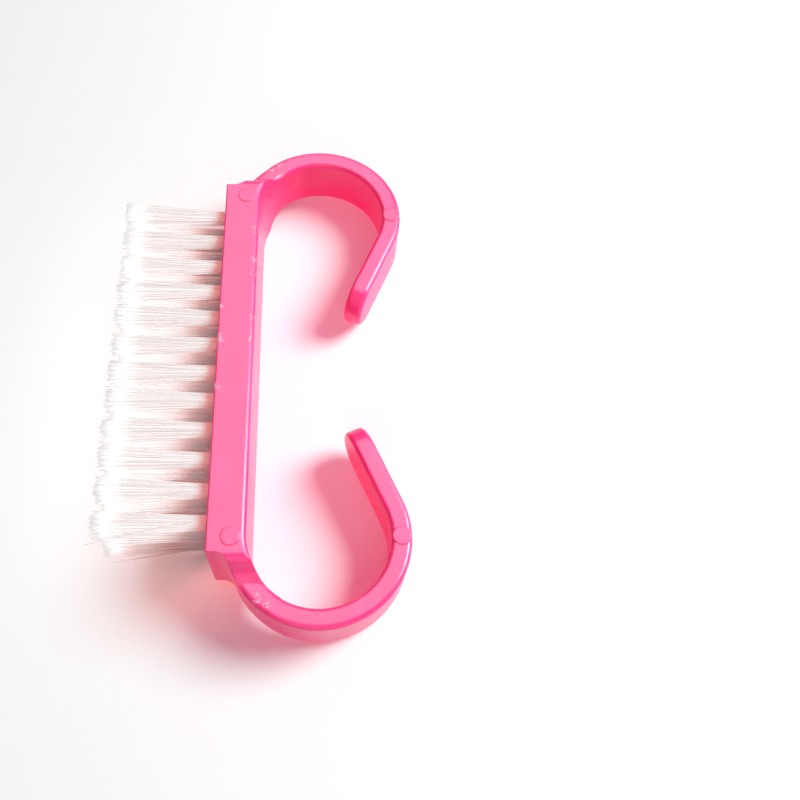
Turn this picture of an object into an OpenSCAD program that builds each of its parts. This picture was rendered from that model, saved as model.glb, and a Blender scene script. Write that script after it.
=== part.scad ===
// Nail brush: one moulded grip with two finger hooks, and three rows of
// nylon tufts stapled into its bar. Millimetres.
// The brush lies on the side of its bar: Z is up through the bar's depth,
// Y runs along the bar, the tufts point to -X and the hooks to +X.
// The origin is the middle of the side face that the bar lies on.

/* [Bar] */
// length of the bar that holds the tufts, mm
bar_length = 49; // [40:0.5:60]
// depth of the bar, from one side face to the other, mm
bar_depth = 12; // [10:0.5:16]
// thickness of the bar, from the tuft face to the finger side, mm
bar_thickness = 4.3; // [3.9:0.1:6]
// rounding of the two long edges on the finger side, mm
finger_edge_radius = 0.6; // [0.2:0.1:1]
// rounding of the two long edges on the tuft side, mm
tuft_edge_radius = 0.2; // [0.1:0.05:0.5]

/* [Finger hooks] */
// depth of a hook, centred on the bar's depth, mm
hook_depth = 7; // [5:0.5:9]
// thickness of a hook, mm
hook_thickness = 2.4; // [1.8:0.1:3]
// radius of a hook's inner wall, mm
hook_inner_radius = 8; // [6:0.25:11]
// distance from the bar's middle to the centre of each hook's bend, mm
hook_centre_y = 22.1; // [18:0.1:24]
// rounding of the hooks' long edges, mm
hook_edge_radius = 0.6; // [0.5:0.05:0.8]
// lean of the straight leg back towards the bar, degrees
leg_lean = 24; // [0:1:35]
// straight leg from the end of the bend to its half-round tip, mm
leg_length = 7.8; // [4:0.1:12]

/* [Hook roots] */
// fillet between the bar's end and a hook's outer wall, mm
root_fillet_radius = 1.8; // [0.8:0.1:2.2]
// rounding at the crest of the slope from the bar's side face to the hook's, mm
crest_radius = 1.35; // [0.6:0.05:1.8]
// steepest angle of that slope, degrees
slope_angle = 66; // [58:1:75]

/* [Ejector marks] */
// diameter of the round ejector marks, mm
mark_diameter = 2.1; // [1.5:0.1:2.4]
// height of a mark above its face, mm
mark_height = 0.1; // [0.05:0.05:0.2]
// distance from the bar's middle to its two marks, mm
bar_mark_y = 22.8; // [18:0.1:23.2]
// distance of the bar's marks from its centre line, towards the fingers, mm
bar_mark_x = 0.5; // [0:0.05:0.5]

/* [Tufts] */
// distance between tufts along a row, mm
tuft_pitch = 3.75; // [3.4:0.05:4.2]
// distance between rows, mm
row_spacing = 3.75; // [3:0.05:4]
// diameter of a tuft where it leaves its hole, mm
tuft_root_diameter = 1.8; // [1.4:0.1:2]
// diameter of the fanned tip of a tuft, mm
tuft_tip_diameter = 3.2; // [2:0.1:3.3]
// free length of a tuft, from where it starts to bend to its tip, mm
tuft_free_length = 12.3; // [8:0.1:16]
// gap between the bar's face and the point where a tuft bends, mm
bend_gap = 0.35; // [0.32:0.01:0.6]

/* [Tuft holes and anchors] */
// diameter of a tuft hole, mm
hole_diameter = 1.9; // [1.5:0.05:2.2]
// depth of a tuft hole, mm
hole_depth = 3.1; // [2:0.1:3.3]
// thickness of the folded bundle that passes under an anchor, mm
fold_thickness = 0.55; // [0.4:0.05:0.8]
// length of an anchor across its hole, biting into both walls, mm
anchor_length = 2.4; // [2.2:0.1:2.8]
// width of an anchor along its hole, mm
anchor_width = 1.4; // [1:0.1:1.6]
// thickness of the anchor's flat wire, mm
anchor_thickness = 0.3; // [0.2:0.05:0.4]
// gap all round between an anchor and the bundle folded over it, mm
anchor_gap = 0.02; // [0.01:0.01:0.05]

/* [Hidden] */
tuft_face_x = -bar_thickness / 2;
finger_face_x = bar_thickness / 2;
bar_end_y = bar_length / 2;
mid_z = bar_depth / 2;
hook_centre_x = finger_face_x + hook_inner_radius;
hook_outer_radius = hook_inner_radius + hook_thickness;
hook_middle_radius = hook_inner_radius + hook_thickness / 2;
hook_top = hook_depth / 2;
// centre of the fillet that touches the bar's end and the hook's outer wall
fillet_y = bar_end_y + root_fillet_radius;
fillet_reach = hook_outer_radius + root_fillet_radius;
fillet_x = hook_centre_x - sqrt(pow(fillet_reach, 2) - pow(fillet_y - hook_centre_y, 2));
fillet_share = hook_outer_radius / fillet_reach;
touch_x = hook_centre_x + (fillet_x - hook_centre_x) * fillet_share;
touch_y = hook_centre_y + (fillet_y - hook_centre_y) * fillet_share;
// slope from the bar's side face (crest, then hollow) down to the hook's; it ends
// this far below the hook's side face, so its corners sink into the rounded edges
slope_dip = 0.35;
slope_floor = hook_top - slope_dip;
slope_radii = (bar_depth / 2 - slope_floor) / (1 - cos(slope_angle));
hollow_radius = slope_radii - crest_radius;
slope_end_y = bar_end_y + slope_radii * sin(slope_angle);
turn_y = bar_end_y + crest_radius * sin(slope_angle);
turn_z = bar_depth / 2 - crest_radius * (1 - cos(slope_angle));
// part of the bend, in degrees, that the slope is cut from
slope_sweep = 75;
// beyond the bends' centres the bar reaches this far towards the fingers, inside the root
block_x = finger_face_x - hook_thickness / 2;
// the hook starts this many degrees past the root's start, inside the root
hook_start = 10;
// how far added material runs into the solid it grows from
root = 0.3;
// how far a cut runs past the face it opens
past = 0.2;
// tufts in a row; each is a piece of its own in NODES
columns = 12;
first_tuft_y = tuft_pitch * (columns - 1) / 2;
bend_x = tuft_face_x - bend_gap;
upper_z = mid_z + row_spacing;
middle_z = mid_z;
lower_z = mid_z - row_spacing;
hole_bottom_x = tuft_face_x + hole_depth;
anchor_x = hole_bottom_x - fold_thickness - anchor_width / 2;
grip_pink = "#f0509a";
nylon_white = "#ece4dc";
anchor_metal = "#c9a75a";

// sub-part to draw, or "all"

// flat section with four rounded corners, centred
module rounded_section(wide, high, radius) {
  square([wide - 2 * radius, high], center = true);
  square([wide, high - 2 * radius], center = true);
  for (sx = [-1, 1], sy = [-1, 1])
    translate([sx * (wide / 2 - radius), sy * (high / 2 - radius)]) circle(r = radius, $fn = 48);
}

// cross-section of the bar: X across, Y for the depth
module bar_section() {
  square([bar_thickness - 2 * finger_edge_radius, bar_depth], center = true);
  translate([0, -bar_depth / 2 + finger_edge_radius])
    square([finger_face_x, bar_depth - 2 * finger_edge_radius]);
  translate([tuft_face_x, -bar_depth / 2 + tuft_edge_radius])
    square([finger_face_x, bar_depth - 2 * tuft_edge_radius]);
  translate([tuft_face_x + tuft_edge_radius, -bar_depth / 2])
    square([finger_face_x, bar_depth]);
  for (side = [-1, 1]) {
    translate([finger_face_x - finger_edge_radius, side * (bar_depth / 2 - finger_edge_radius)])
      circle(r = finger_edge_radius, $fn = 48);
    translate([tuft_face_x + tuft_edge_radius, side * (bar_depth / 2 - tuft_edge_radius)])
      circle(r = tuft_edge_radius, $fn = 48);
  }
}

// the whole bar as far as its middle, and its finger side between the two bends
module bar() {
  translate([0, bar_end_y, mid_z]) rotate([90, 0, 0])
    linear_extrude(bar_length)
      intersection() {
        bar_section();
        translate([tuft_face_x, -bar_depth / 2])
          square([block_x - tuft_face_x, bar_depth]);
      }
  translate([0, hook_centre_y, mid_z]) rotate([90, 0, 0])
    linear_extrude(2 * hook_centre_y) bar_section();
}

module hook_section() rounded_section(hook_thickness, hook_depth, hook_edge_radius);

// outer half of a hook's section, turned on edge: X is the depth
module half_section() {
  intersection() {
    rounded_section(hook_depth, hook_thickness, hook_edge_radius);
    translate([0, -hook_thickness / 2]) square([hook_depth / 2, hook_thickness]);
  }
}

// end of a leg, half round when seen from the fingers
module hook_tip() {
  rotate([0, 90, 0]) rotate([0, 0, 180])
    rotate_extrude(angle = 180, $fn = 96) half_section();
}

// bend and straight leg of the hook at the bar's +Y end
module hook() {
  translate([hook_centre_x, hook_centre_y, mid_z]) rotate([0, 0, -leg_lean]) {
    rotate_extrude(angle = 180 - hook_start + leg_lean, $fn = 128)
      translate([hook_middle_radius, 0]) hook_section();
    translate([hook_middle_radius, 0, 0]) rotate([90, 0, 0])
      linear_extrude(leg_length) hook_section();
    translate([hook_middle_radius, -leg_length, 0]) hook_tip();
  }
}

// outline in plan of the fillet between the bar's end face and the hook's outer wall
module root_fillet() {
  difference() {
    polygon([
      [fillet_x, bar_end_y - root], [fillet_x, bar_end_y],
      [touch_x, touch_y], [touch_x + root, touch_y], [touch_x + root, bar_end_y - root]
    ]);
    translate([fillet_x, fillet_y]) circle(r = root_fillet_radius, $fn = 64);
  }
}

// wall of the bend where it is as deep as the bar, with the bar's finger edges
module root_section() {
  translate([finger_edge_radius, -bar_depth / 2])
    square([hook_thickness - finger_edge_radius, bar_depth]);
  translate([0, -bar_depth / 2 + finger_edge_radius])
    square([hook_thickness, bar_depth - 2 * finger_edge_radius]);
  for (side = [-1, 1])
    translate([finger_edge_radius, side * (bar_depth / 2 - finger_edge_radius)])
      circle(r = finger_edge_radius, $fn = 48);
}

// half of the outline of a hook's root, seen from the fingers: Y, and the depth from the middle
module slope_outline() {
  difference() {
    union() {
      polygon([
        [hook_centre_y - past, 0], [hook_centre_y - past, bar_depth / 2],
        [bar_end_y, bar_depth / 2], [bar_end_y, bar_depth / 2 - crest_radius],
        [turn_y, turn_z], [slope_end_y, turn_z], [slope_end_y, 0]
      ]);
      translate([bar_end_y, bar_depth / 2 - crest_radius]) circle(r = crest_radius, $fn = 96);
    }
    translate([slope_end_y, slope_floor + hollow_radius]) circle(r = hollow_radius, $fn = 96);
  }
}

// root of the hook: its side faces slope from the bar's down to the hook's
module hook_root() {
  intersection() {
    union() {
      translate([hook_centre_x, hook_centre_y, mid_z]) mirror([1, 0, 0])
        rotate_extrude(angle = slope_sweep, $fn = 128)
          translate([hook_inner_radius, 0]) root_section();
      linear_extrude(bar_depth) root_fillet();
    }
    translate([tuft_face_x, 0, mid_z]) rotate([90, 0, 90])
      linear_extrude(hook_centre_x)
        union() {
          slope_outline();
          mirror([0, 1]) slope_outline();
        }
  }
}

// round marks left by the ejector pins, on the upper side only
module ejector_marks() {
  translate([bar_mark_x, bar_mark_y, bar_depth - root])
    cylinder(d = mark_diameter, h = mark_height + root, $fn = 64);
  translate([hook_centre_x + hook_middle_radius, hook_centre_y, mid_z + hook_top - 2 * root])
    cylinder(d = mark_diameter, h = mark_height + 2 * root, $fn = 64);
}

module tuft_y(column) translate([0, first_tuft_y - (column - 1) * tuft_pitch, 0]) children();

module anchor_plate(z, gap = 0) {
  translate([anchor_x, 0, z])
    cube([
      anchor_width + 2 * gap, anchor_thickness + 2 * gap, anchor_length + 2 * gap
    ], center = true);
}

module tuft_hole(z) {
  translate([tuft_face_x - past, 0, z]) rotate([0, 90, 0])
    cylinder(d = hole_diameter, h = hole_depth + past, $fn = 48);
  anchor_plate(z);
}

module handle() {
  color(grip_pink)
    difference() {
      union() {
        bar();
        for (end = [0, 1]) mirror([0, end, 0]) {
          hook();
          hook_root();
          ejector_marks();
        }
      }
      for (column = [1:columns], z = [lower_z, middle_z, upper_z])
        tuft_y(column) tuft_hole(z);
    }
}

// free length of one tuft, fanning out from its bend to its tip
module tuft(column, z) {
  color(nylon_white) tuft_y(column)
    translate([bend_x, 0, z]) rotate([0, -90, 0])
      cylinder(
        d1 = tuft_root_diameter, d2 = tuft_tip_diameter, h = tuft_free_length, $fn = 32
      );
}

// folded ends of one row of tufts, held in their holes by the anchors
module row_roots(z) {
  color(nylon_white)
    for (column = [1:columns]) tuft_y(column)
      difference() {
        translate([tuft_face_x, 0, z]) rotate([0, 90, 0])
          cylinder(d = tuft_root_diameter, h = hole_depth - anchor_gap, $fn = 12);
        anchor_plate(z, anchor_gap);
      }
}

module row_anchors(z) {
  color(anchor_metal)
    for (column = [1:columns]) tuft_y(column) anchor_plate(z);
}

module upper_tuft_01() tuft(1, upper_z);
module upper_tuft_02() tuft(2, upper_z);
module upper_tuft_03() tuft(3, upper_z);
module upper_tuft_04() tuft(4, upper_z);
module upper_tuft_05() tuft(5, upper_z);
module upper_tuft_06() tuft(6, upper_z);
module upper_tuft_07() tuft(7, upper_z);
module upper_tuft_08() tuft(8, upper_z);
module upper_tuft_09() tuft(9, upper_z);
module upper_tuft_10() tuft(10, upper_z);
module upper_tuft_11() tuft(11, upper_z);
module upper_tuft_12() tuft(12, upper_z);
module middle_tuft_01() tuft(1, middle_z);
module middle_tuft_02() tuft(2, middle_z);
module middle_tuft_03() tuft(3, middle_z);
module middle_tuft_04() tuft(4, middle_z);
module middle_tuft_05() tuft(5, middle_z);
module middle_tuft_06() tuft(6, middle_z);
module middle_tuft_07() tuft(7, middle_z);
module middle_tuft_08() tuft(8, middle_z);
module middle_tuft_09() tuft(9, middle_z);
module middle_tuft_10() tuft(10, middle_z);
module middle_tuft_11() tuft(11, middle_z);
module middle_tuft_12() tuft(12, middle_z);
module lower_tuft_01() tuft(1, lower_z);
module lower_tuft_02() tuft(2, lower_z);
module lower_tuft_03() tuft(3, lower_z);
module lower_tuft_04() tuft(4, lower_z);
module lower_tuft_05() tuft(5, lower_z);
module lower_tuft_06() tuft(6, lower_z);
module lower_tuft_07() tuft(7, lower_z);
module lower_tuft_08() tuft(8, lower_z);
module lower_tuft_09() tuft(9, lower_z);
module lower_tuft_10() tuft(10, lower_z);
module lower_tuft_11() tuft(11, lower_z);
module lower_tuft_12() tuft(12, lower_z);
module upper_row_roots() row_roots(upper_z);
module middle_row_roots() row_roots(middle_z);
module lower_row_roots() row_roots(lower_z);
module upper_row_anchors() row_anchors(upper_z);
module middle_row_anchors() row_anchors(middle_z);
module lower_row_anchors() row_anchors(lower_z);

handle();
upper_tuft_01();
upper_tuft_02();
upper_tuft_03();
upper_tuft_04();
upper_tuft_05();
upper_tuft_06();
upper_tuft_07();
upper_tuft_08();
upper_tuft_09();
upper_tuft_10();
upper_tuft_11();
upper_tuft_12();
middle_tuft_01();
middle_tuft_02();
middle_tuft_03();
middle_tuft_04();
middle_tuft_05();
middle_tuft_06();
middle_tuft_07();
middle_tuft_08();
middle_tuft_09();
middle_tuft_10();
middle_tuft_11();
middle_tuft_12();
lower_tuft_01();
lower_tuft_02();
lower_tuft_03();
lower_tuft_04();
lower_tuft_05();
lower_tuft_06();
lower_tuft_07();
lower_tuft_08();
lower_tuft_09();
lower_tuft_10();
lower_tuft_11();
lower_tuft_12();
upper_row_roots();
middle_row_roots();
lower_row_roots();
upper_row_anchors();
middle_row_anchors();
lower_row_anchors();
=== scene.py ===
import math
import random

import bpy
from mathutils import Matrix, Vector


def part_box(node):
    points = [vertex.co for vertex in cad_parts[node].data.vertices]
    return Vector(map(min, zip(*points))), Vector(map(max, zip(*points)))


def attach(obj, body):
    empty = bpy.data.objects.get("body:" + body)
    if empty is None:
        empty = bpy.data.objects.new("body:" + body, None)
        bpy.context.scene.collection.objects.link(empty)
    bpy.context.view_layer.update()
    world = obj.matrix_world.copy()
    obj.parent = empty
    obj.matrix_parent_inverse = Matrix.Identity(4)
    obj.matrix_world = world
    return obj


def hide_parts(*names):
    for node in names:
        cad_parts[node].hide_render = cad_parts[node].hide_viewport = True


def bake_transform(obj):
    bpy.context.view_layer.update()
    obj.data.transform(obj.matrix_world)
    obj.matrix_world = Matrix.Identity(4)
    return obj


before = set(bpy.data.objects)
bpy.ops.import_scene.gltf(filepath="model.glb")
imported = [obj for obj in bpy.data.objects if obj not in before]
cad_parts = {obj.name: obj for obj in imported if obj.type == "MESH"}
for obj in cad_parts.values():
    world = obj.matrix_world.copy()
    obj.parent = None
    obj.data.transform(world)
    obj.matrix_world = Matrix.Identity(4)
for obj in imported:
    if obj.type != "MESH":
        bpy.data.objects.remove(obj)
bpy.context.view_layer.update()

MM = 0.001
COLUMNS = 12
ROWS = ("upper", "middle", "lower")

# ---------------------------------------------------------------- places, read from the frame
handle_low, handle_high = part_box("handle")
tuft_low, tuft_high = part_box("upper_tuft_01")
middle_low, middle_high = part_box("middle_tuft_01")
roots_low, roots_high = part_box("middle_row_roots")
FACE_X = handle_low.x                      # face of the bar that the tufts stand on
DEPTH = middle_low.z + middle_high.z       # the middle row is half way up the bar
MID_Z = DEPTH / 2
LOW_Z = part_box("lower_tuft_01")[0].z       # underside of the tufts
FINGER_X = -FACE_X                         # face of the bar on the finger side
HOOK_REACH = handle_high.x                 # outermost face of the hooks
HOOK_DEPTH = 7 * MM                        # the hooks are shallower than the bar
HOOK_INSET = (DEPTH - HOOK_DEPTH) / 2      # and centred on it
ROOT_RADIUS = 0.5 * (roots_high.z - roots_low.z)
TIP_RADIUS = 0.5 * (tuft_high.z - tuft_low.z)
TIP_X = tuft_low.x

# ---------------------------------------------------------------- colours, linear
PINK = (0.95, 0.050, 0.27, 1)
PINK_DEEP = (0.93, 0.035, 0.22, 1)
PINK_PALE = (0.97, 0.50, 0.64, 1)
PINK_SCUFFED = (0.98, 0.72, 0.82, 1)
NYLON = (0.81, 0.79, 0.79, 1)
NYLON_WARM = (0.75, 0.71, 0.70, 1)
NYLON_TIP = (0.96, 0.96, 0.96, 1)
NYLON_LOW = (0.70, 0.59, 0.58, 1)         # stands in for the shade between the rows
WIRE = (0.62, 0.43, 0.16, 1)
FLOOR = (0.86, 0.86, 0.86, 1)
# part of the light that gets past one surface, for shadows
PASSED_BY_HOOK = (0.56, 0.14, 0.27, 1)
PASSED_BY_BAR = (0.80, 0.42, 0.40, 1)


# ---------------------------------------------------------------- marks of use and of moulding
HOOK_THICKNESS = 2.4 * MM
HOOK_INNER = (HOOK_REACH - FINGER_X - HOOK_THICKNESS) / 2
HOOK_OUTER = HOOK_INNER + HOOK_THICKNESS
HOOK_X = FINGER_X + HOOK_INNER             # centre of a hook's bend
HOOK_Y = handle_high.y - HOOK_OUTER
HOOK_TOP = DEPTH - HOOK_INSET
BAR_HALF = HOOK_Y + HOOK_THICKNESS         # half of the bar's length, near enough for marks


def on_hook(end, degrees, radius, z):
    """A point on a hook (end 1 is +Y, -1 is -Y), degrees from the bar's side round the bend."""
    angle = math.radians(degrees)
    return Vector((HOOK_X - radius * math.cos(angle), end * (HOOK_Y + radius * math.sin(angle)), z))


def place_marks():
    """Scuffs (place, radius, strength) and flash (side, middle, length, height), seeded."""
    rng = random.Random("marks")
    scuffs, flash = [], []
    # rubbed spots on the side face of each hook, past its root
    for end, count in ((-1, 4), (1, 2)):
        for _ in range(count):
            radius = HOOK_INNER + HOOK_THICKNESS * rng.uniform(0.2, 0.8)
            place = on_hook(end, rng.uniform(40, 60), radius, HOOK_TOP)
            scuffs.append((place, rng.uniform(0.4, 0.7) * MM, rng.uniform(0.7, 1.0)))
    # the outside of one hook is rough low down
    for _ in range(3):
        place = on_hook(-1, rng.uniform(75, 100), HOOK_OUTER, HOOK_INSET + 0.5 * MM)
        scuffs.append((place, rng.uniform(0.9, 1.6) * MM, rng.uniform(0.7, 0.8)))
    # flash along the bar's upper edges: more on the finger side (1) than on the tufts' (-1)
    for side, count, low, high in ((1, 5, 0.0, 0.85), (-1, 3, -0.3, 0.3)):
        for k in range(count):
            share = low + (high - low) * (k + rng.uniform(0.1, 0.9)) / count
            length = rng.uniform(0.6, 1.6) * MM
            middle = share * BAR_HALF
            flash.append((side, middle, length, rng.uniform(0.14, 0.26) * MM))
            edge = Vector((side * (FINGER_X - 0.2 * MM), middle, DEPTH))
            scuffs.append((edge, 0.5 * length + 0.2 * MM, rng.uniform(0.7, 0.9)))
    return scuffs, flash


SCUFFS, FLASH = place_marks()


# ---------------------------------------------------------------- node helpers
class Nodes:
    """Short way to build a material's node tree."""

    def __init__(self, name):
        self.material = bpy.data.materials.new(name)
        self.material.use_nodes = True
        self.tree = self.material.node_tree
        self.tree.nodes.clear()

    def add(self, kind, inputs=None, **settings):
        node = self.tree.nodes.new(kind)
        for key, value in settings.items():
            setattr(node, key, value)
        for key, value in (inputs or {}).items():
            if isinstance(value, bpy.types.NodeSocket):
                self.tree.links.new(value, node.inputs[key])
            else:
                node.inputs[key].default_value = value
        return node

    def maths(self, operation, a, b=0.0, clamp=False):
        node = self.add("ShaderNodeMath", {0: a, 1: b}, operation=operation)
        node.use_clamp = clamp
        return node.outputs[0]

    def noise(self, position, scale, detail=3.0, rough=0.5):
        node = self.add("ShaderNodeTexNoise", {
            "Vector": position, "Scale": scale, "Detail": detail, "Roughness": rough})
        return node.outputs["Fac"]

    def ramp(self, value, low, high, to_low=0.0, to_high=1.0):
        node = self.add("ShaderNodeMapRange", {
            "Value": value, "From Min": low, "From Max": high,
            "To Min": to_low, "To Max": to_high})
        node.interpolation_type = "SMOOTHSTEP"
        return node.outputs[0]

    def mix(self, factor, a, b):
        node = self.add("ShaderNodeMix", data_type="RGBA")
        for socket, value in ((node.inputs[0], factor), (node.inputs[6], a), (node.inputs[7], b)):
            if isinstance(value, bpy.types.NodeSocket):
                self.tree.links.new(value, socket)
            else:
                socket.default_value = value
        return node.outputs[2]

    def bump(self, height, distance, normal=None, strength=1.0):
        inputs = {"Height": height, "Distance": distance, "Strength": strength}
        if normal is not None:
            inputs["Normal"] = normal
        return self.add("ShaderNodeBump", inputs).outputs[0]

    def finish(self, shader):
        self.add("ShaderNodeOutputMaterial", {"Surface": shader})
        return self.material


def grip_material():
    n = Nodes("grip_pink_plastic")
    here = n.add("ShaderNodeTexCoord").outputs["Object"]
    x, _, z = n.add("ShaderNodeSeparateXYZ", {0: here}).outputs
    rounded = n.add("ShaderNodeBevel", {"Radius": 0.24 * MM}, samples=6).outputs[0]
    true_normal = n.add("ShaderNodeNewGeometry").outputs["True Normal"]
    facing = n.add("ShaderNodeVectorMath", {0: rounded, 1: true_normal}, operation="DOT_PRODUCT")
    edge = n.ramp(facing.outputs["Value"], 0.995, 0.86)    # 1 on an edge, 0 on a flat
    cloud = n.noise(here, 160, 4)
    colour = n.mix(n.ramp(cloud, 0.3, 0.7, 0.0, 0.6), PINK, PINK_DEEP)
    # flow streaks run along the moulding
    stretch = n.add("ShaderNodeMapping", {"Vector": here, "Scale": (1.0, 0.12, 1.0)}).outputs[0]
    flow = n.noise(stretch, 520, 3)
    colour = n.mix(n.ramp(flow, 0.5, 0.8, 0.0, 0.05), colour, PINK_PALE)
    # whitened wear in patches along the edges
    patch = n.ramp(n.noise(here, 330, 5, 0.65), 0.56, 0.68)
    wear = n.maths("MULTIPLY", edge, patch)
    speck = n.ramp(n.noise(here, 2600, 2), 0.52, 0.66)
    wear = n.maths("MULTIPLY", wear, n.maths("MULTIPLY", speck, 0.6))
    colour = n.mix(n.maths("MULTIPLY", wear, 0.6), colour, PINK_PALE)
    # scuffs with ragged outlines
    rubbed = n.ramp(n.noise(here, 3800, 4, 0.65), 0.47, 0.60)
    scuff = 0.0
    for place, radius, strength in SCUFFS:
        away = n.add("ShaderNodeVectorMath", {0: here, 1: place}, operation="DISTANCE")
        near = n.ramp(away.outputs["Value"], radius, 0.25 * radius, 0.0, strength)
        scuff = n.maths("MAXIMUM", scuff, n.maths("MULTIPLY", near, rubbed))
    colour = n.mix(n.maths("MULTIPLY", scuff, 0.75), colour, PINK_SCUFFED)
    wear = n.maths("MAXIMUM", wear, scuff)
    # worn places are less glossy
    rough = n.maths("MULTIPLY_ADD", n.noise(here, 700, 2), 0.12)
    rough.node.inputs[2].default_value = 0.24
    rough = n.maths("ADD", rough, n.maths("MULTIPLY", wear, 0.3))
    # the two halves of the mould met half way up the outer walls
    off_line = n.maths("ABSOLUTE", n.maths("SUBTRACT", z, MID_Z))
    line = n.ramp(off_line, 0.10 * MM, 0.02 * MM)
    normal = n.bump(n.noise(here, 240, 2), 0.03 * MM, rounded, 0.5)
    normal = n.bump(n.noise(here, 700, 1), 0.004 * MM, normal, 0.4)
    normal = n.bump(line, 0.03 * MM, normal, 0.8)
    skin = n.add("ShaderNodeBsdfPrincipled", {
        "Base Color": colour, "Roughness": rough, "IOR": 1.49, "Normal": normal,
        "Subsurface Weight": 0.5, "Subsurface Radius": (1.0, 0.35, 0.55),
        "Subsurface Scale": 1.0 * MM, "Coat Weight": 0.25, "Coat Roughness": 0.12})
    through = n.add("ShaderNodeBsdfTranslucent", {"Color": (1.0, 0.25, 0.42, 1), "Normal": normal})
    both = n.add("ShaderNodeMixShader", {0: 0.10, 1: skin.outputs[0], 2: through.outputs[0]})
    # the plastic passes some light, tinted red: more through the thin hooks than the bar
    in_bar = n.ramp(x, FINGER_X + 1.5 * MM, FINGER_X - 0.5 * MM)
    passed = n.mix(in_bar, PASSED_BY_HOOK, PASSED_BY_BAR)
    lets_through = n.add("ShaderNodeBsdfTransparent", {"Color": passed})
    shadow_ray = n.add("ShaderNodeLightPath").outputs["Is Shadow Ray"]
    seen = n.add("ShaderNodeMixShader", {
        0: shadow_ray, 1: both.outputs[0], 2: lets_through.outputs[0]})
    return n.finish(seen.outputs[0])


def nylon_material(name, shade=1.0):
    n = Nodes(name)
    here = n.add("ShaderNodeTexCoord").outputs["Object"]
    per_hair = n.add("ShaderNodeAttribute", attribute_name="hair_tone").outputs["Fac"]
    streak = n.noise(n.add("ShaderNodeMapping", {
        "Vector": here, "Scale": (0.2, 1.0, 1.0)}).outputs[0], 3200, 2)
    tone = n.maths("MULTIPLY_ADD", streak, 0.35)
    tone.node.inputs[2].default_value = 0.0
    tone = n.maths("ADD", tone, n.maths("MULTIPLY", per_hair, 0.6), clamp=True)
    colour = n.mix(tone, tuple(shade * c for c in NYLON[:3]) + (1,),
                   tuple(shade * c for c in NYLON_WARM[:3]) + (1,))
    along, _, height = n.add("ShaderNodeSeparateXYZ", {0: here}).outputs
    low = n.ramp(height, LOW_Z + 5.5 * MM, LOW_Z, 0.0, 1.0)
    colour = n.mix(low, colour, NYLON_LOW)
    # painted light: over their last 4 mm the filaments are painted nearly white towards the tips
    at_tip = n.ramp(along, TIP_X + 4 * MM, TIP_X, 0.0, 0.9)
    colour = n.mix(at_tip, colour, NYLON_TIP)
    normal = n.bump(n.noise(here, 9000, 2), 0.01 * MM, None, 0.4)
    skin = n.add("ShaderNodeBsdfPrincipled", {
        "Base Color": colour, "Roughness": 0.32, "IOR": 1.53, "Normal": normal,
        "Sheen Weight": 0.1, "Sheen Roughness": 0.4})
    through = n.add("ShaderNodeBsdfTranslucent", {"Color": colour})
    both = n.add("ShaderNodeMixShader", {0: 0.42, 1: skin.outputs[0], 2: through.outputs[0]})
    return n.finish(both.outputs[0])


def wire_material():
    n = Nodes("anchor_brass_wire")
    here = n.add("ShaderNodeTexCoord").outputs["Object"]
    drawn = n.noise(n.add("ShaderNodeMapping", {
        "Vector": here, "Scale": (1.0, 1.0, 0.08)}).outputs[0], 5200, 3)
    colour = n.mix(drawn, WIRE, tuple(0.7 * c for c in WIRE[:3]) + (1,))
    skin = n.add("ShaderNodeBsdfPrincipled", {
        "Base Color": colour, "Metallic": 1.0, "Roughness": n.ramp(drawn, 0.2, 0.8, 0.22, 0.42),
        "Normal": n.bump(drawn, 0.01 * MM, None, 0.5)})
    return n.finish(skin.outputs[0])


def floor_material():
    n = Nodes("pale_floor")
    here = n.add("ShaderNodeTexCoord").outputs["Object"]
    skin = n.add("ShaderNodeBsdfPrincipled", {
        "Base Color": n.mix(n.noise(here, 6, 2), FLOOR, tuple(0.98 * c for c in FLOOR[:3]) + (1,)),
        "Roughness": 0.7, "Specular IOR Level": 0.2})
    return n.finish(skin.outputs[0])


grip_plastic = grip_material()
nylon = nylon_material("nylon_filament")
# painted shade: the folded roots, down in the holes, are painted 10% darker
nylon_root = nylon_material("nylon_folded_root", 0.9)
brass = wire_material()


def repaint(node, material):
    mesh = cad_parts[node].data
    mesh.materials.clear()
    mesh.materials.append(material)


repaint("handle", grip_plastic)
for row in ROWS:
    repaint(f"{row}_row_roots", nylon_root)
    repaint(f"{row}_row_anchors", brass)
    for column in range(1, COLUMNS + 1):
        repaint(f"{row}_tuft_{column:02d}", nylon)


# ---------------------------------------------------------------- tufts, filament by filament
HAIRS = 90
HAIR_RADIUS = 0.08 * MM
HAIR_SIDES = 5
HAIR_STEPS = 8
GOLDEN_ANGLE = math.radians(137.508)
SUNK = 0.05 * MM                            # how far a filament starts inside its root


def tube(vertices, faces, tones, path, radius, tone):
    """Adds a thin tapered tube along path to the lists of a mesh."""
    base = len(vertices)
    last = len(path) - 1
    for i, point in enumerate(path):
        ahead = path[min(i + 1, last)] - path[max(i - 1, 0)]
        side = ahead.cross(Vector((0, 0, 1))).normalized()
        up = side.cross(ahead).normalized()
        r = radius * (0.55 if i == last else 1.0)
        for k in range(HAIR_SIDES):
            a = 2 * math.pi * k / HAIR_SIDES
            vertices.append(point + side * (r * math.cos(a)) + up * (r * math.sin(a)))
            tones.append(tone)
    for i in range(last):
        for k in range(HAIR_SIDES):
            a, b = base + i * HAIR_SIDES + k, base + i * HAIR_SIDES + (k + 1) % HAIR_SIDES
            faces.append((a, b, b + HAIR_SIDES, a + HAIR_SIDES))
    faces.append(tuple(base + k for k in reversed(range(HAIR_SIDES))))
    faces.append(tuple(base + last * HAIR_SIDES + k for k in range(HAIR_SIDES)))


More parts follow.
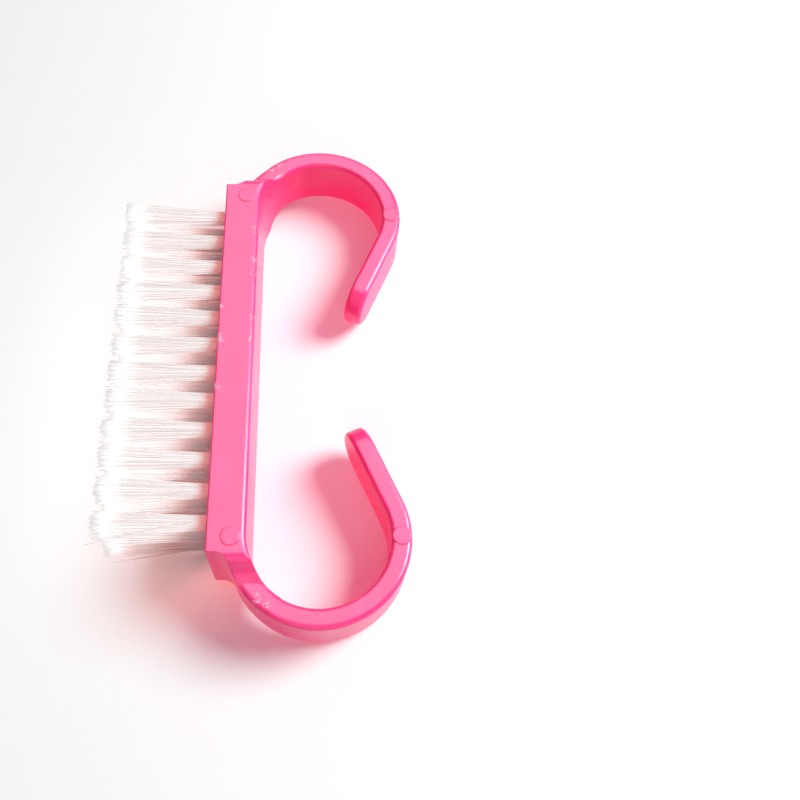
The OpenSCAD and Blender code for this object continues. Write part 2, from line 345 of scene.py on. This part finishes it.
def build_tuft(row, column, strays):
    node = f"{row}_tuft_{column:02d}"
    low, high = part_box(node)
    centre = Vector((0, (low.y + high.y) / 2, (low.z + high.z) / 2))
    rng = random.Random(f"tuft {row} {column}")
    vertices, faces, tones = [], [], []
    length = FACE_X - TIP_X
    lean = Vector((0, rng.gauss(0, 0.12), rng.gauss(0, 0.10))) * MM
    twist = rng.uniform(0, 2 * math.pi)
    swell = rng.uniform(0.96, 1.04)
    for i in range(HAIRS):
        share = math.sqrt((i + 0.5) / HAIRS)
        angle = i * GOLDEN_ANGLE + twist
        out = Vector((0, math.cos(angle), math.sin(angle)))
        start = out * (share * (ROOT_RADIUS - HAIR_RADIUS))
        spread = (TIP_RADIUS - HAIR_RADIUS) * swell
        end = out * (share * spread) + lean
        end += Vector((0, rng.gauss(0, 0.14), rng.gauss(0, 0.14))) * MM
        reach = length + rng.gauss(0, 0.16) * MM - share * share * 0.25 * MM
        curl = Vector((0, rng.gauss(0, 0.12), rng.gauss(0, 0.12))) * MM
        if i in strays:
            end += strays[i] * MM
            reach -= 0.2 * MM
        path = []
        for step in range(HAIR_STEPS):
            t = step / (HAIR_STEPS - 1)
            fan = t * (0.55 + 0.45 * t)
            side = start.lerp(end, fan) + curl * math.sin(math.pi * t) * t
            path.append(centre + side + Vector((FACE_X + SUNK - t * (reach + SUNK), 0, 0)))
        tube(vertices, faces, tones, path, HAIR_RADIUS * rng.uniform(0.85, 1.1), rng.random())
    mesh = bpy.data.meshes.new(f"{node}_filaments")
    mesh.from_pydata([tuple(v) for v in vertices], [], faces)
    tone = mesh.attributes.new("hair_tone", "FLOAT", "POINT")
    tone.data.foreach_set("value", tones)
    mesh.polygons.foreach_set("use_smooth", [True] * len(mesh.polygons))
    mesh.materials.append(nylon)
    piece = bpy.data.objects.new(f"{node}_filaments", mesh)
    bpy.context.scene.collection.objects.link(piece)
    piece.visible_shadow = False            # a setting for the look: real filaments do shade
    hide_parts(node)
    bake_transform(piece)
    return piece


FIN_STEP = 0.12 * MM                        # distance between the sections of a fin
FIN_THICK = 0.05 * MM                       # thickness at the foot; half of it at the crest
FIN_BACK = 0.12 * MM                        # the foot stands this far in from the bar's edge
FIN_FOOT = 0.1 * MM                         # depth of the foot below the bar's side face
FIN_LEAST = 0.02 * MM                       # least height


def build_flash():
    """Thin ragged fins of plastic left along the bar's upper edges."""
    rng = random.Random("flash")
    vertices, faces = [], []
    for side, middle, length, height in FLASH:
        steps = max(5, round(length / FIN_STEP))
        foot = side * FINGER_X - side * FIN_BACK
        first = len(vertices)
        for i in range(steps + 1):
            t = i / steps
            y = middle + length * (t - 0.5)
            tall = height * math.sin(math.pi * t) * rng.uniform(0.4, 1.0) + FIN_LEAST
            crest = foot + side * rng.uniform(-0.2, 0.5) * tall
            low, high = DEPTH - FIN_FOOT, DEPTH + tall
            vertices += [(foot - FIN_THICK / 2, y, low), (foot + FIN_THICK / 2, y, low),
                         (crest + FIN_THICK / 4, y, high), (crest - FIN_THICK / 4, y, high)]
        for i in range(steps):
            a, b = first + 4 * i, first + 4 * i + 4
            for k in range(4):
                m = (k + 1) % 4
                faces.append((a + k, a + m, b + m, b + k))
        faces.append(tuple(first + k for k in (3, 2, 1, 0)))
        faces.append(tuple(first + 4 * steps + k for k in range(4)))
    mesh = bpy.data.meshes.new("handle_flash")
    mesh.from_pydata(vertices, [], faces)
    mesh.materials.append(grip_plastic)
    piece = bpy.data.objects.new("handle_flash", mesh)
    bpy.context.scene.collection.objects.link(piece)
    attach(piece, "grip")
    return piece


build_flash()

# a few filaments have sprung out of their tufts: {(row, column): {filament: sideways mm}}
STRAYS = {
    ("upper", 1): {89: Vector((0, -1.3, 1.0)), 85: Vector((0, 0.7, 0.3))},
    ("upper", 2): {88: Vector((0, 0.9, 0.8))},
    ("upper", 4): {87: Vector((0, -0.8, 0.9))},
    ("upper", 7): {89: Vector((0, 0.8, 0.7))},
    ("upper", 11): {88: Vector((0, -1.0, 0.9))},
    ("upper", 12): {89: Vector((0, -3.2, 0.4)), 83: Vector((0, -0.9, 0.2))},
    ("middle", 12): {88: Vector((0, -1.2, 0.0))},
    ("lower", 12): {87: Vector((0, -1.0, -0.2))},
    ("middle", 1): {89: Vector((0, 0.9, 0.2))},
}
for row in ROWS:
    for column in range(1, COLUMNS + 1):
        build_tuft(row, column, STRAYS.get((row, column), {}))

# ---------------------------------------------------------------- floor, light and camera
# The hooks are shallower than the bar, so the brush lies tilted: on the lower edge of the
# bar and on the two hooks. The floor is placed under it.
lay_tilt = math.atan2(HOOK_INSET, HOOK_REACH - FINGER_X)
TURN = -0.0813                              # turn of the brush on the floor, radians
TURN_POINT = (-22.12 * MM, 3.70 * MM, 0)    # the point it is turned about, on the floor
FACE_FROM_TURN = 4 * MM                     # from there to the bar's face on the finger side
floor_from_brush = (
    Matrix.Translation(TURN_POINT)
    @ Matrix.Rotation(TURN, 4, "Z")
    @ Matrix.Translation((FACE_FROM_TURN, 0, 0))
    @ Matrix.Rotation(lay_tilt, 4, "Y")
    @ Matrix.Translation((-FINGER_X, 0, 0))
)
brush_from_floor = floor_from_brush.inverted()

FLOOR_HALF = 1.2                            # half the side of the floor, m
FLOOR_BELOW = 0.02 * MM                     # keeps the floor clear of the plastic
corners = [(a * FLOOR_HALF, b * FLOOR_HALF, 0) for a, b in ((-1, -1), (1, -1), (1, 1), (-1, 1))]
floor_mesh = bpy.data.meshes.new("floor")
floor_mesh.from_pydata(corners, [], [(0, 1, 2, 3)])
floor_mesh.materials.append(floor_material())
floor = bpy.data.objects.new("floor", floor_mesh)
bpy.context.scene.collection.objects.link(floor)
floor.matrix_world = brush_from_floor @ Matrix.Translation((0, 0, -FLOOR_BELOW))


def lamp(name, position, target, size, watts, colour=(1, 1, 1)):
    """Adds a round soft lamp; places are in metres, on the floor's axes."""
    data = bpy.data.lights.new(name, "AREA")
    data.shape = "DISK"
    data.size = size
    data.energy = watts
    data.color = colour
    light = bpy.data.objects.new(name, data)
    bpy.context.scene.collection.objects.link(light)
    toward = (Vector(target) - Vector(position)).normalized()
    light.matrix_world = brush_from_floor @ Matrix.LocRotScale(
        Vector(position), toward.to_track_quat("-Z", "Y"), None)
    return light


lamp("key", (0.440, 0.070, 0.401), (0, 0, 0), 0.30, 5.4, (1.0, 0.99, 0.99))
lamp("fill", (-0.06, -0.46, 0.34), (0, 0, 0), 0.50, 0.7)
# two large dim panels, overhead and at the side, seen only as sheen on the surfaces
sheen = lamp("sheen", (0.10, 0.33, 0.60), (0.10, 0.33, 0), 0.75, 5.4)
sheen.visible_diffuse = False
side_sheen = lamp("side_sheen", (0.62, 0.20, 0.36), (0, 0, 0), 0.60, 4.2)
side_sheen.visible_diffuse = False

world = bpy.data.worlds.new("studio")
world.use_nodes = True
world.node_tree.nodes["Background"].inputs[0].default_value = (1.0, 1.0, 1.0, 1)
world.node_tree.nodes["Background"].inputs[1].default_value = 0.15
bpy.context.scene.world = world

FOCAL_MM = 41.07                            # on a 36 mm sensor
CAMERA_DISTANCE = 117.6 * MM
FROM_STRAIGHT_DOWN = 0.4468                 # radians
CAMERA_ROLL = -0.1263
camera_data = bpy.data.cameras.new("camera")
camera_data.lens = FOCAL_MM
camera_data.sensor_width = 36
camera_data.clip_start = 5 * MM
camera_data.clip_end = 20
camera = bpy.data.objects.new("camera", camera_data)
bpy.context.scene.collection.objects.link(camera)
camera.matrix_world = (
    brush_from_floor
    @ Matrix.Rotation(FROM_STRAIGHT_DOWN, 4, "X")
    @ Matrix.Translation((0, 0, CAMERA_DISTANCE))
    @ Matrix.Rotation(CAMERA_ROLL, 4, "Z")
)
bpy.context.scene.camera = camera

bpy.context.scene.view_settings.view_transform = "Standard"
bpy.context.scene.view_settings.look = "None"
bpy.context.scene.view_settings.exposure = 0.0
